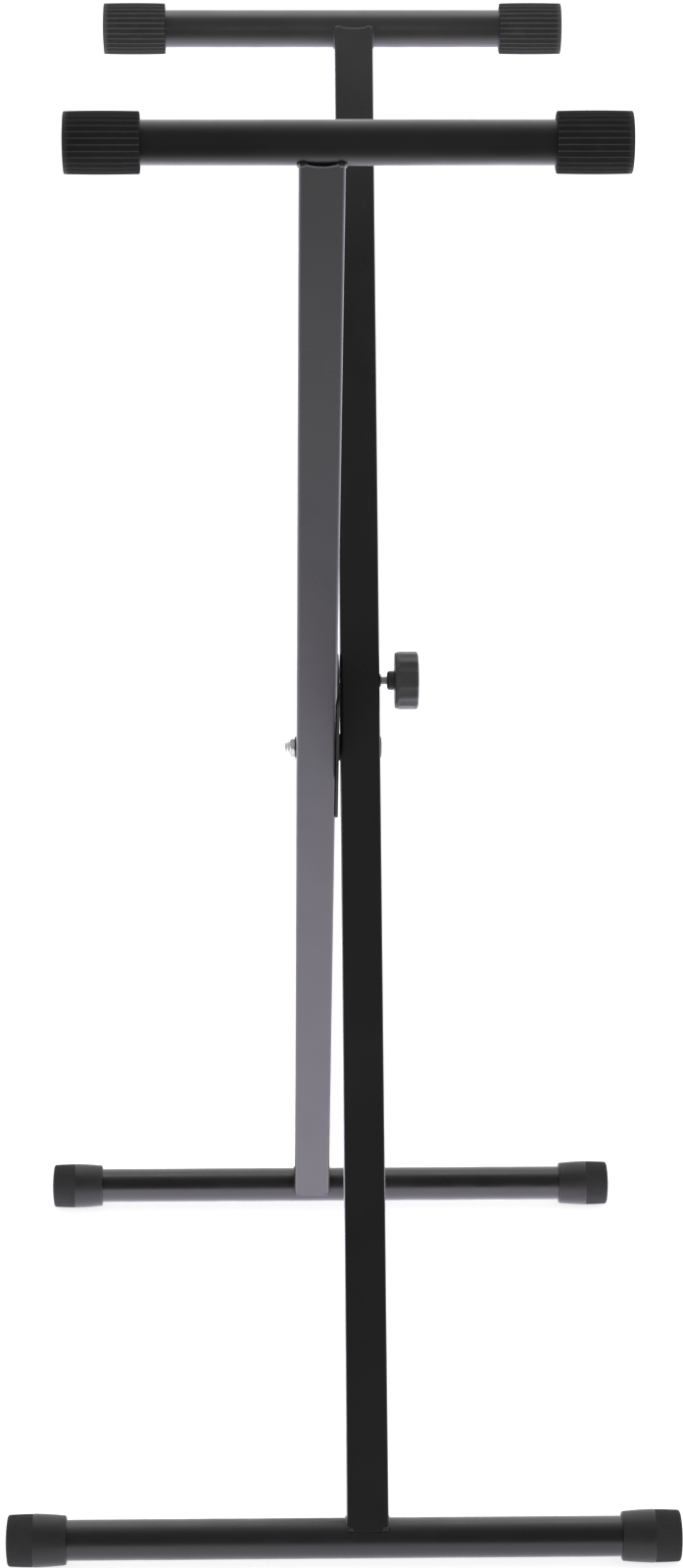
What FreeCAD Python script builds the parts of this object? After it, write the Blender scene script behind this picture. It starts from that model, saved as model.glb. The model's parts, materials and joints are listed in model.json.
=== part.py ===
import FreeCAD, Part
import Sketcher
import math
import os

# Folding single-cross keyboard stand, millimetres, +Z up.
# Origin: on the floor, under the pivot, half-way between the foot bars.
# Both legs open in the XZ plane; arms and foot bars run along Y.

doc = FreeCAD.newDocument("keyboard_stand")

DIMS = [
    ("leg_wide", 28.8),        # square leg tube, outside
    ("leg_wall", 1.2),
    ("leg_corner", 2.4),       # outside corner radius of the square tube
    ("leg_span", 1126.0),      # arm axis to foot axis along a leg
    ("leg_short", 4.4),        # leg end stops this far short of the round tube's axis
    ("lip_dip", 2.4),          # hollow in the middle of the front and back walls at each end
    ("lip_rad", 26.4),
    ("half_angle", 31.4),      # each leg from vertical, as photographed
    ("pipe_dia", 28.0),        # arms and foot bars
    ("pipe_wall", 1.2),
    ("arm_over", 349.0),       # arm length over its grips
    ("foot_over", 468.0),      # foot bar length over its caps
    ("leg_gap", 3.2),          # clear space between the two legs
    ("grip_dia", 38.6),        # ribbed arm grip, belly
    ("grip_end_dia", 38.0),
    ("grip_long", 47.5),
    ("grip_floor", 3.0),       # closed end
    ("cap_dia", 36.6),         # foot cap at its widest ring
    ("cap_inner_dia", 34.0),   # foot cap at its mouth
    ("cap_long", 42.0),
    ("cap_split", 19.5),       # widest ring to outer end
    ("cap_floor", 4.0),
    ("plate_thick", 2.0),
    ("plate_rad", 68.0),
    ("plate_round", 8.0),
    ("ring_rad", 50.0),        # lock holes about the pivot
    ("hole_dia", 7.0),
    ("hole_step", 12.0),       # angle between lock holes
    ("fold_stop", 4.8),        # angle between the legs when folded
    ("bolt_dia", 8.0),
    ("bolt_head_dia", 16.4),
    ("bolt_head_high", 1.0),
    ("nut_flats", 13.0),
    ("nut_high", 5.6),
    ("bush_dia", 12.0),
    ("washer_dia", 16.0),
    ("washer_thick", 1.0),
    ("spacer_dia", 19.5),
    ("screw_dia", 6.0),
    ("screw_out", 5.6),        # leg face to knob hub at rest
    ("knob_dia", 42.0),
    ("knob_head", 18.0),
    ("hub_dia", 14.2),
    ("hub_long", 5.6),
    ("insert_dia", 9.0),
    ("insert_flange", 10.8),
    ("weld_size", 1.6),
]
sheet = doc.addObject("Spreadsheet::Sheet", "dims")
VALUE = {}
for row, (alias, number) in enumerate(DIMS, 1):
    sheet.set("A%d" % row, alias)
    sheet.set("B%d" % row, str(number))
    sheet.setAlias("B%d" % row, alias)
    VALUE[alias] = number
doc.recompute()


class Q:
    """A length that knows both its number and its spreadsheet formula."""

    def __init__(self, text, value):
        self.text = text
        self.value = float(value)

    @staticmethod
    def of(x):
        return x if isinstance(x, Q) else Q("(%r)" % float(x), x)

    def __add__(self, o):
        o = Q.of(o)
        return Q("(%s + %s)" % (self.text, o.text), self.value + o.value)

    __radd__ = __add__

    def __sub__(self, o):
        o = Q.of(o)
        return Q("(%s - %s)" % (self.text, o.text), self.value - o.value)

    def __rsub__(self, o):
        return Q.of(o) - self

    def __mul__(self, o):
        o = Q.of(o)
        return Q("(%s * %s)" % (self.text, o.text), self.value * o.value)

    __rmul__ = __mul__

    def __truediv__(self, o):
        o = Q.of(o)
        return Q("(%s / %s)" % (self.text, o.text), self.value / o.value)

    def __neg__(self):
        return Q("(0 - %s)" % self.text, -self.value)


def d(name):
    return Q("dims." + name, VALUE[name])


def sin(q):
    q = Q.of(q)
    return Q("sin(%s * 1 deg)" % q.text, math.sin(math.radians(q.value)))


def cos(q):
    q = Q.of(q)
    return Q("cos(%s * 1 deg)" % q.text, math.cos(math.radians(q.value)))


V = FreeCAD.Vector
pieces = []


def keep(obj, label):
    obj.Label = label
    pieces.append(obj)
    return obj


def new_body(label):
    body = doc.addObject("PartDesign::Body", "body_" + label)
    body.Label = label
    return body


def plane(body, role):
    return [f for f in body.Origin.OriginFeatures if f.Role == role][0]


def outline(body, role, pts, name, offset=None):
    """Closed straight-sided sketch whose corners are bound to the sheet."""
    sk = body.newObject("Sketcher::SketchObject", name)
    sk.AttachmentSupport = [(plane(body, role), "")]
    sk.MapMode = "FlatFace"
    if offset is not None:
        offset = Q.of(offset)
        sk.AttachmentOffset = FreeCAD.Placement(V(0, 0, offset.value), FreeCAD.Rotation())
        sk.setExpression("AttachmentOffset.Base.z", offset.text)
    pts = [(Q.of(x), Q.of(y)) for x, y in pts]
    n = len(pts)
    for i in range(n):
        a, b = pts[i], pts[(i + 1) % n]
        sk.addGeometry(Part.LineSegment(V(a[0].value, a[1].value, 0), V(b[0].value, b[1].value, 0)), False)
    for i in range(n):
        sk.addConstraint(Sketcher.Constraint("Coincident", i, 2, (i + 1) % n, 1))
    for i, (x, y) in enumerate(pts):
        for kind, axis, q in (("DistanceX", -2, x), ("DistanceY", -1, y)):
            if abs(q.value) < 1e-9:
                sk.addConstraint(Sketcher.Constraint("PointOnObject", i, 1, axis))
            else:
                c = sk.addConstraint(Sketcher.Constraint(kind, -1, 1, i, 1, q.value))
                sk.setExpression("Constraints[%d]" % c, q.text)
    return sk


def turned(label, pts):
    """Solid of revolution about local Y from (radius, along) corners."""
    body = new_body(label)
    sk = outline(body, "XY_Plane", pts, "turn_" + label)
    rev = body.newObject("PartDesign::Revolution", "rev_" + label)
    rev.Profile = sk
    rev.ReferenceAxis = (sk, ["V_Axis"])
    rev.Angle = 360.0
    sk.Visibility = False
    return body


def padded(body, role, pts, name, start, length):
    """Prism from a sketch; start is along the sketch normal."""
    sk = outline(body, role, pts, "sk_" + name, start)
    pad = body.newObject("PartDesign::Pad", "pad_" + name)
    pad.Profile = sk
    length = Q.of(length)
    pad.Length = length.value
    pad.setExpression("Length", length.text)
    return pad


def edges_where(shape, test):
    return ["Edge%d" % i for i, e in enumerate(shape.Edges, 1) if test(e)]


def rounded(body, base, names, radius, name):
    f = body.newObject("PartDesign::Fillet", name)
    f.Base = (base, names)
    radius = Q.of(radius)
    f.Radius = radius.value
    f.setExpression("Radius", radius.text)
    return f


def rod(name, radius, y0, y1, x=0.0, z=0.0):
    """Cylinder along Y between two stations, used as a cutting tool."""
    c = doc.addObject("Part::Cylinder", name)
    radius, y0, y1, x, z = [Q.of(q) for q in (radius, y0, y1, x, z)]
    c.Radius = radius.value
    c.setExpression("Radius", radius.text)
    high = y1 - y0
    c.Height = high.value
    c.setExpression("Height", high.text)
    c.Placement = FreeCAD.Placement(V(x.value, y0.value, z.value), FreeCAD.Rotation(V(1, 0, 0), -90))
    c.setExpression("Placement.Base.x", x.text)
    c.setExpression("Placement.Base.y", y0.text)
    c.setExpression("Placement.Base.z", z.text)
    return c


def cut(name, base, tools):
    for i, tool in enumerate(tools):
        c = doc.addObject("Part::Cut", "%s_%d" % (name, i))
        c.Base = base
        c.Tool = tool
        base = c
    return base


# ---- shared stations -------------------------------------------------------
half = d("leg_span") / 2
gap2 = d("leg_gap") / 2                       # leg face from the mid plane
face = gap2 + d("leg_wide")                   # outer leg face from the mid plane
rise = d("cap_dia") / 2 + half * cos(d("half_angle"))
open_angle = d("half_angle") * 2
plate_front = -gap2 + d("plate_thick")


def leg_place(sign):
    return FreeCAD.Placement(V(0, 0, rise.value), FreeCAD.Rotation(V(0, 1, 0), sign * VALUE["half_angle"]))


def put(obj, sign, along=0.0, cross=0.0):
    """Leg frame (z along the leg, pivot at 0) to the stand's frame."""
    along, cross = Q.of(along), Q.of(cross)
    obj.Placement = leg_place(sign).multiply(
        FreeCAD.Placement(V(cross.value, 0, along.value), FreeCAD.Rotation()))
    return obj


# ---- square leg tubes ------------------------------------------------------
def square_bar(name, inset, radius, y_mid, length):
    h = d("leg_wide") / 2 - inset
    body = new_body(name)
    pad = padded(body, "XY_Plane",
                 [(-h, y_mid - h), (h, y_mid - h), (h, y_mid + h), (-h, y_mid + h)],
                 name, -length / 2, length)
    doc.recompute()
    long_edges = edges_where(pad.Shape, lambda e: abs(e.BoundBox.ZLength - e.Length) < 1e-6 and e.Length > 100)
    rounded(body, pad, long_edges, radius, "round_" + name)
    doc.recompute()
    return body


def lip(name, y, z):
    """Cylinder across the leg that dips the end of its front and back walls."""
    c = doc.addObject("Part::Cylinder", name)
    y, z = Q.of(y), Q.of(z)
    c.Radius = VALUE["lip_rad"]
    c.setExpression("Radius", "dims.lip_rad")
    c.Height = 60
    c.Placement = FreeCAD.Placement(V(-30, y.value, z.value), FreeCAD.Rotation(V(0, 1, 0), 90))
    c.setExpression("Placement.Base.y", y.text)
    c.setExpression("Placement.Base.z", z.text)
    return c


def leg_tube(label, side, extra):
    y_mid = side * (gap2 + d("leg_wide") / 2)
    length = (half - d("leg_short")) * 2
    outer = square_bar("outer_" + label, 0.0, d("leg_corner"), y_mid, length)
    inner = square_bar("inner_" + label, d("leg_wall"), d("leg_corner") - d("leg_wall"), y_mid, length + 20)
    tools = [inner]
    for i, s in enumerate((1, -1)):
        tools.append(rod("saddle%d_%s" % (i, label), d("pipe_dia") / 2, Q.of(-60), Q.of(60), 0.0, half * s))
        tools.append(lip("lip%d_%s" % (i, label), y_mid, (half - d("leg_short") - d("lip_dip") + d("lip_rad")) * s))
    return keep(cut("tube_" + label, outer, tools + extra), label)


# leg A: pivot clearance hole, and a hole behind the plate for the folded lock position
fold_x = -d("ring_rad") * sin(d("fold_stop"))
fold_z = d("ring_rad") * cos(d("fold_stop"))
leg_a = leg_tube("leg_a_tube", -1.0, [
    rod("a_pivot_hole", d("bolt_dia") / 2 + 0.2, -face - 5, Q.of(5)),
    rod("a_fold_hole", d("hole_dia") / 2, -gap2 - 6, Q.of(5), fold_x, fold_z)])
put(leg_a, 1)

# leg B: bush holes, screw clearance in the inner wall, threaded insert in the outer wall
leg_b = leg_tube("leg_b_tube", 1.0, [
    rod("b_pivot_hole", d("bush_dia") / 2, Q.of(-5), face + 5),
    rod("b_screw_hole", d("screw_dia") / 2 + 0.4, Q.of(-5), gap2 + 8, 0.0, d("ring_rad")),
    rod("b_insert_hole", d("insert_dia") / 2, face - 8, face + 5, 0.0, d("ring_rad"))])
put(leg_b, -1)

# ---- round arms and foot bars ---------------------------------------------
pipe_r = d("pipe_dia") / 2
bore_r = pipe_r - d("pipe_wall")


def pipe(label, sign, along, over, floor):
    y = over / 2 - floor
    put(keep(turned(label, [(bore_r, -y), (pipe_r, -y), (pipe_r, y), (bore_r, y)]), label), sign, along)


pipe("leg_a_upper_arm", 1, half, d("arm_over"), d("grip_floor"))
pipe("leg_a_foot_bar", 1, -half, d("foot_over"), d("cap_floor"))
pipe("leg_b_upper_arm", -1, half, d("arm_over"), d("grip_floor"))
pipe("leg_b_foot_bar", -1, -half, d("foot_over"), d("cap_floor"))


# ---- arm grips and foot caps, closed rubber sleeves pushed over the pipes ---
def grip(label, sign, s):
    e = d("arm_over") / 2
    rb, re = d("grip_dia") / 2, d("grip_end_dia") / 2
    inner = e - d("grip_long")
    pts = [(0, s * e), (re - 2.0, s * e), (re, s * (e - 2.0)), (rb, s * (e - d("grip_long") / 2)),
           (re, s * (inner + 1.0)), (re - 1.0, s * inner), (pipe_r, s * inner),
           (pipe_r, s * (e - d("grip_floor"))), (0, s * (e - d("grip_floor")))]
    put(keep(turned(label, pts), label), sign, half)


def foot_cap(label, sign, s):
    e = d("foot_over") / 2
    rm, ri = d("cap_dia") / 2, d("cap_inner_dia") / 2
    inner = e - d("cap_long")
    split = e - d("cap_split")
    pts = [(0, s * e), (rm - 4.0, s * e), (rm - 1.4, s * (e - 1.2)), (rm - 0.4, s * (e - 3.5)), (rm, s * split),
           (rm - 0.5, s * (split - 2.0)), (ri, s * (inner + 1.5)), (ri - 1.0, s * inner), (pipe_r, s * inner),
           (pipe_r, s * (e - d("cap_floor"))), (0, s * (e - d("cap_floor")))]
    put(keep(turned(label, pts), label), sign, -half)


for leg, sign in (("leg_a", 1), ("leg_b", -1)):
    for hand, s in (("left", -1.0), ("right", 1.0)):
        grip("%s_grip_%s" % (leg, hand), sign, s)
        foot_cap("%s_foot_cap_%s" % (leg, hand), sign, s)


# ---- weld beads where each leg saddles its pipe -----------------------------
def saddle_weld(label, sign, side, end):
    """One bead down each side wall of the leg, turned about the pipe's axis."""
    body = new_body(label)
    body.AllowCompound = True
    w = d("weld_size")
    near = side * gap2
    far = side * face
    inner_dir = -side
    bead1 = [(pipe_r, near), (pipe_r + w, near), (pipe_r, near + inner_dir * w)]
    bead2 = [(pipe_r, far), (pipe_r + w, far), (pipe_r, far - inner_dir * w)]
    for i, pts in enumerate((bead1, bead2)):
        sk = outline(body, "XY_Plane", pts, "sk%d_%s" % (i, label))
        rev = body.newObject("PartDesign::Revolution", "rev%d_%s" % (i, label))
        rev.Profile = sk
        rev.ReferenceAxis = (sk, ["V_Axis"])
        rev.Midplane = True
        rev.Angle = 138.0
    put(body, sign, half * end)
    # turn the arc so that its middle faces down the leg
    turn = FreeCAD.Placement(V(0, 0, 0), FreeCAD.Rotation(V(0, 1, 0), 90.0 * end))
    body.Placement = body.Placement.multiply(turn)
    keep(body, label)


saddle_weld("leg_a_upper_weld", 1, -1.0, 1)
saddle_weld("leg_a_foot_weld", 1, -1.0, -1)
saddle_weld("leg_b_upper_weld", -1, 1.0, 1)
saddle_weld("leg_b_foot_weld", -1, 1.0, -1)

# ---- locking plate ----------------------------------------------------------
# Half-round plate on leg A's inner face; straight edge flush with the leg's front face.
flat_x = d("leg_wide") / 2
body = new_body("plate_blank")
sk = body.newObject("Sketcher::SketchObject", "sk_plate")
sk.AttachmentSupport = [(plane(body, "XZ_Plane"), "")]
sk.MapMode = "FlatFace"
sk.AttachmentOffset = FreeCAD.Placement(V(0, 0, -plate_front.value), FreeCAD.Rotation())
sk.setExpression("AttachmentOffset.Base.z", (-plate_front).text)
R = VALUE["plate_rad"]
chord = math.acos(flat_x.value / R)
sk.addGeometry(Part.ArcOfCircle(Part.Circle(V(0, 0, 0), V(0, 0, 1), R), chord, 2 * math.pi - chord), False)
sk.addGeometry(Part.LineSegment(V(flat_x.value, -R * math.sin(chord), 0), V(flat_x.value, R * math.sin(chord), 0)), False)
sk.addConstraint(Sketcher.Constraint("Coincident", 0, 3, -1, 1))
sk.addConstraint(Sketcher.Constraint("Coincident", 0, 2, 1, 1))
sk.addConstraint(Sketcher.Constraint("Coincident", 1, 2, 0, 1))
sk.addConstraint(Sketcher.Constraint("Vertical", 1))
c = sk.addConstraint(Sketcher.Constraint("Radius", 0, R))
sk.setExpression("Constraints[%d]" % c, "dims.plate_rad")
c = sk.addConstraint(Sketcher.Constraint("DistanceX", -1, 1, 1, 1, flat_x.value))
sk.setExpression("Constraints[%d]" % c, flat_x.text)
pad = body.newObject("PartDesign::Pad", "pad_plate")
pad.Profile = sk
pad.Length = VALUE["plate_thick"]
pad.setExpression("Length", "dims.plate_thick")
doc.recompute()
corners = edges_where(pad.Shape, lambda e: abs(e.Length - VALUE["plate_thick"]) < 1e-6 and e.BoundBox.YLength > 1)
rounded(body, pad, corners, d("plate_round"), "round_plate")
doc.recompute()
holes = [rod("plate_pivot", d("bolt_dia") / 2 + 0.2, Q.of(-10), Q.of(10)),
         rod("plate_fold", d("hole_dia") / 2, Q.of(-10), Q.of(10), fold_x, fold_z)]
for i in range(5):
    ang = open_angle + d("hole_step") * float(i)
    holes.append(rod("plate_lock%d" % i, d("hole_dia") / 2, Q.of(-10), Q.of(10),
                     -d("ring_rad") * sin(ang), d("ring_rad") * cos(ang)))
put(keep(cut("plate", body, holes), "lock_plate"), 1)

# fillet welds between leg A's back face and the plate's hidden side
beads = []
for i, (z0, z1) in enumerate(((-46.0, -16.0), (16.0, 46.0))):
    bar = doc.addObject("Part::Cylinder", "plate_bead%d" % i)
    bar.Radius = VALUE["weld_size"]
    bar.setExpression("Radius", "dims.weld_size")
    bar.Height = z1 - z0
    x0 = -flat_x
    bar.Placement = FreeCAD.Placement(V(x0.value, -gap2.value, z0), FreeCAD.Rotation())
    bar.setExpression("Placement.Base.x", x0.text)
    bar.setExpression("Placement.Base.y", (-gap2).text)
    beads.append(bar)
both = doc.addObject("Part::MultiFuse", "plate_beads")
both.Shapes = beads
solid_leg = square_bar("weld_leg_block", 0.0, d("leg_corner"), -(gap2 + d("leg_wide") / 2), Q.of(200))
keep_out = doc.addObject("Part::Box", "weld_plate_block")
keep_out.Length, keep_out.Width, keep_out.Height = 60, 30, 200
keep_out.Placement = FreeCAD.Placement(V(-44, -gap2.value, -100), FreeCAD.Rotation())
keep_out.setExpression("Placement.Base.y", (-gap2).text)
put(keep(cut("plate_weld", both, [solid_leg, keep_out]), "lock_plate_weld"), 1)

# ---- pivot ------------------------------------------------------------------
bolt_r = d("bolt_dia") / 2
nut_in = -face - d("washer_thick")
nut_out = nut_in - d("nut_high")
tip = nut_out - 1.8
head0 = face + 0.1
head1 = head0 + d("bolt_head_high")
hr = d("bolt_head_dia") / 2
put(keep(turned("pivot_bolt", [
    (0, tip), (bolt_r - 0.8, tip), (bolt_r, tip + 0.8), (bolt_r, head0), (hr, head0), (hr, head0 + 0.4),
    (hr - 1.2, head1), (Q.of(2.5), head1), (Q.of(2.5), head0 - 2.5), (0, head0 - 3.5)]), "pivot_bolt"), 1)

bush_r = d("bush_dia") / 2
put(keep(turned("leg_b_pivot_bush", [
    (bolt_r + 0.05, gap2), (bush_r, gap2), (bush_r, face), (bolt_r + 0.05, face)]), "leg_b_pivot_bush"), -1)
put(keep(turned("leg_a_pivot_sleeve", [
    (bolt_r + 0.1, -face + d("leg_wall")), (bush_r, -face + d("leg_wall")),
    (bush_r, -gap2 - d("leg_wall")), (bolt_r + 0.1, -gap2 - d("leg_wall"))]), "leg_a_pivot_sleeve"), 1)
put(keep(turned("pivot_spacer", [
    (bolt_r + 0.15, plate_front), (d("spacer_dia") / 2, plate_front),
    (d("spacer_dia") / 2, gap2 - 0.1), (bolt_r + 0.15, gap2 - 0.1)]), "pivot_spacer"), 1)
put(keep(turned("pivot_washer", [
    (bolt_r + 0.2, nut_in), (d("washer_dia") / 2, nut_in), (d("washer_dia") / 2, -face), (bolt_r + 0.2, -face)]),
    "pivot_washer"), 1)

# self-locking hexagon nut, one edge turned towards the open side of the cross
body = new_body("nut_blank")
corner = d("nut_flats") / math.sqrt(3.0)
padded(body, "XZ_Plane",
       [(corner * math.cos(math.radians(a)), corner * math.sin(math.radians(a))) for a in (41, 101, 161, 221, 281, 341)],
       "nut", -nut_in, d("nut_high"))
doc.recompute()
nut = cut("nut", body, [rod("nut_bore", bolt_r + 0.02, -face - 30, -face + 5)])
put(keep(nut, "pivot_nut"), 1)

# ---- lock screw -------------------------------------------------------------
scr_r = d("screw_dia") / 2
flange_t = 1.2
put(keep(turned("screw_insert", [
    (scr_r + 0.05, face - 14.0), (d("insert_dia") / 2, face - 14.0), (d("insert_dia") / 2, face),
    (d("insert_flange") / 2, face), (d("insert_flange") / 2, face + 0.8), (d("insert_flange") / 2 - 0.5, face + flange_t),
    (scr_r + 0.05, face + flange_t)]), "screw_insert"), -1, d("ring_rad"))

hub0 = face + d("screw_out")
hub1 = hub0 + d("hub_long")
knob1 = hub1 + d("knob_head")
screw_tip = plate_front + 0.4
screw_end = hub1 + d("knob_head") * 0.6
put(keep(turned("lock_screw", [
    (0, screw_tip), (scr_r - 1.2, screw_tip), (scr_r, screw_tip + 1.6), (scr_r, screw_end), (0, screw_end)]),
    "lock_screw"), -1, d("ring_rad"))

kr, br = d("knob_dia") / 2, d("hub_dia") / 2
body = turned("lock_knob", [
    (scr_r + 0.05, hub0), (br - 1.6, hub0), (br, hub0 + 1.6), (br, hub1), (kr - 1.2, hub1), (kr, hub1 + 1.2),
    (kr, knob1 - 2.6), (kr - 1.6, knob1 - 1.0), (kr - 8.0, knob1 - 0.3), (0, knob1), (0, screw_end + 0.1),
    (scr_r + 0.05, screw_end + 0.1)])
# finger scallops round the rim
sk = body.newObject("Sketcher::SketchObject", "sk_scallop")
sk.AttachmentSupport = [(plane(body, "XZ_Plane"), "")]
sk.MapMode = "FlatFace"
sk.AttachmentOffset = FreeCAD.Placement(V(0, 0, -knob1.value - 2.0), FreeCAD.Rotation())
sk.setExpression("AttachmentOffset.Base.z", (-knob1 - 2.0).text)
reach = kr + 7.4
sk.addGeometry(Part.Circle(V(reach.value, 0, 0), V(0, 0, 1), 8.0), False)
sk.addConstraint(Sketcher.Constraint("PointOnObject", 0, 3, -1))
c = sk.addConstraint(Sketcher.Constraint("DistanceX", -1, 1, 0, 3, reach.value))
sk.setExpression("Constraints[%d]" % c, reach.text)
sk.addConstraint(Sketcher.Constraint("Radius", 0, 8.0))
doc.recompute()
whole = body.Shape.Volume
pocket = body.newObject("PartDesign::Pocket", "scallop")
pocket.Profile = sk
pocket.Type = 0
pocket.Length = VALUE["knob_head"] + 4.0
pocket.setExpression("Length", "dims.knob_head + 4")
doc.recompute()
if not body.Shape.Volume < whole - 5.0:
    pocket.Reversed = True
    doc.recompute()
ring = body.newObject("PartDesign::PolarPattern", "scallops")
ring.Originals = [pocket]
ring.Axis = (sk, ["N_Axis"])
ring.Angle = 360.0
ring.Occurrences = 18
body.Tip = ring
doc.recompute()
put(keep(body, "lock_knob"), -1, d("ring_rad"))

# ---- checks and export -------------------------------------------------------
doc.recompute()
bad = []
for obj in doc.Objects:
    if "Invalid" in obj.State or "Error" in obj.State:
        bad.append((obj.Name, obj.Label, list(obj.State)))
for obj in pieces:
    shape = obj.Shape
    if shape.isNull() or not shape.isValid() or shape.Volume <= 0 or not shape.Solids:
        bad.append((obj.Label, "shape"))
if bad:
    raise RuntimeError("failed objects: %r" % bad)

os.makedirs("parts", exist_ok=True)
for obj in pieces:
    obj.Shape.exportStep("parts/%s.step" % obj.Label)
    bb = obj.Shape.BoundBox
    print("%-24s solids %d vol %10.1f  x %8.2f %8.2f  y %8.2f %8.2f  z %8.2f %8.2f" % (
        obj.Label, len(obj.Shape.Solids), obj.Shape.Volume, bb.XMin, bb.XMax, bb.YMin, bb.YMax, bb.ZMin, bb.ZMax))
print(len(pieces), "pieces; pivot height", rise.value)
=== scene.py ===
import bpy
import bmesh
import json
import math
import random
from mathutils import Matrix, Vector, noise


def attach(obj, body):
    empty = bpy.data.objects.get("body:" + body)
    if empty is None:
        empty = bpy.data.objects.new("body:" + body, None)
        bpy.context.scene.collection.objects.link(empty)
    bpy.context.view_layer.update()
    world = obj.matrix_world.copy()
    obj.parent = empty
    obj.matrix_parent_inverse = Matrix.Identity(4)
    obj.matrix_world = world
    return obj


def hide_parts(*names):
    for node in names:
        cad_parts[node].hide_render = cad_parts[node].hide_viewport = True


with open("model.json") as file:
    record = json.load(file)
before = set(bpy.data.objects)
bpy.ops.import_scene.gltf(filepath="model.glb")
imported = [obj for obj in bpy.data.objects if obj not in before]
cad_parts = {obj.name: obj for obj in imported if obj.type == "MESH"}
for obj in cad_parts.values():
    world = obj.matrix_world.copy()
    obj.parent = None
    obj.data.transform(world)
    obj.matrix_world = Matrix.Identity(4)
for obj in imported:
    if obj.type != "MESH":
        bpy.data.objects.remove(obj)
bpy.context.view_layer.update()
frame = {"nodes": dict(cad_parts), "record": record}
NODES = frame["nodes"]

# ---------------------------------------------------------------------------
# stations of the stand, metres
# ---------------------------------------------------------------------------
ALPHA = math.radians(31.4)
HALF = 0.563
CAP_R = 0.0183
RISE = CAP_R + HALF * math.cos(ALPHA)
GAP = 0.0016
FACE = 0.0304
LEG = 0.0144
PIPE = 0.014
RING = 0.050


def leg_frame(sign):
    return Matrix.Translation((0, 0, RISE)) @ Matrix.Rotation(sign * ALPHA, 4, "Y")


def at(sign, along):
    return leg_frame(sign) @ Matrix.Translation((0, 0, along))


# ---------------------------------------------------------------------------
# materials
# ---------------------------------------------------------------------------
def new_material(name):
    m = bpy.data.materials.new(name)
    m.use_nodes = True
    nt = m.node_tree
    nt.nodes.clear()
    out = nt.nodes.new("ShaderNodeOutputMaterial")
    bsdf = nt.nodes.new("ShaderNodeBsdfPrincipled")
    nt.links.new(bsdf.outputs["BSDF"], out.inputs["Surface"])
    return m, nt, bsdf


def coords(nt):
    return nt.nodes.new("ShaderNodeTexCoord").outputs["Object"]


def noise_tex(nt, vec, scale, detail=4.0, rough=0.55, distortion=0.0):
    n = nt.nodes.new("ShaderNodeTexNoise")
    n.inputs["Scale"].default_value = scale
    n.inputs["Detail"].default_value = detail
    n.inputs["Roughness"].default_value = rough
    n.inputs["Distortion"].default_value = distortion
    nt.links.new(vec, n.inputs["Vector"])
    return n.outputs["Fac"]


def ramp(nt, fac, stops):
    r = nt.nodes.new("ShaderNodeValToRGB")
    while len(r.color_ramp.elements) < len(stops):
        r.color_ramp.elements.new(0.5)
    for e, (p, c) in zip(r.color_ramp.elements, stops):
        e.position = p
        e.color = (c[0], c[1], c[2], 1.0)
    nt.links.new(fac, r.inputs["Fac"])
    return r.outputs["Color"]


def remap(nt, fac, lo, hi, a=0.0, b=1.0):
    r = nt.nodes.new("ShaderNodeMapRange")
    r.inputs["From Min"].default_value = a
    r.inputs["From Max"].default_value = b
    r.inputs["To Min"].default_value = lo
    r.inputs["To Max"].default_value = hi
    nt.links.new(fac, r.inputs["Value"])
    return r.outputs["Result"]


def mix(nt, fac, a, b, kind="MIX"):
    n = nt.nodes.new("ShaderNodeMix")
    n.data_type = "RGBA"
    n.blend_type = kind
    if isinstance(fac, float):
        n.inputs[0].default_value = fac
    else:
        nt.links.new(fac, n.inputs[0])
    for sock, v in ((n.inputs[6], a), (n.inputs[7], b)):
        if isinstance(v, tuple):
            sock.default_value = (v[0], v[1], v[2], 1.0)
        else:
            nt.links.new(v, sock)
    return n.outputs[2]


def math_node(nt, op, a, b):
    n = nt.nodes.new("ShaderNodeMath")
    n.operation = op
    for sock, v in ((n.inputs[0], a), (n.inputs[1], b)):
        if isinstance(v, float):
            sock.default_value = v
        else:
            nt.links.new(v, sock)
    return n.outputs[0]


def bump(nt, bsdf, layers):
    """layers: (height socket, strength, distance)"""
    last = None
    for height, strength, distance in layers:
        b = nt.nodes.new("ShaderNodeBump")
        b.inputs["Strength"].default_value = strength
        b.inputs["Distance"].default_value = distance
        nt.links.new(height, b.inputs["Height"])
        if last is not None:
            nt.links.new(last, b.inputs["Normal"])
        last = b.outputs["Normal"]
    nt.links.new(last, bsdf.inputs["Normal"])


def powder_coat(name, dark, light, rough, gloss=0.62):
    m, nt, bsdf = new_material(name)
    v = coords(nt)
    smudge = noise_tex(nt, v, 9.0, 5.0, 0.6, 0.4)
    haze = noise_tex(nt, v, 38.0, 4.0, 0.55)
    speck = noise_tex(nt, v, 900.0, 2.0, 0.5)
    base = ramp(nt, smudge, ((0.30, dark), (0.72, light)))
    dust = ramp(nt, speck, ((0.66, (0.0, 0.0, 0.0)), (0.80, (0.006, 0.006, 0.0065))))
    nt.links.new(mix(nt, 1.0, base, dust, "ADD"), bsdf.inputs["Base Color"])
    r = remap(nt, haze, rough - 0.05, rough + 0.06, 0.3, 0.7)
    r = math_node(nt, "ADD", r, remap(nt, smudge, -0.03, 0.05, 0.3, 0.75))
    nt.links.new(r, bsdf.inputs["Roughness"])
    bsdf.inputs["Specular IOR Level"].default_value = gloss
    peel = noise_tex(nt, v, 620.0, 3.0, 0.5)
    wave = noise_tex(nt, v, 60.0, 2.0, 0.4)
    bump(nt, bsdf, ((wave, 0.06, 0.0006), (peel, 0.12, 0.00012)))
    return m


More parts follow.
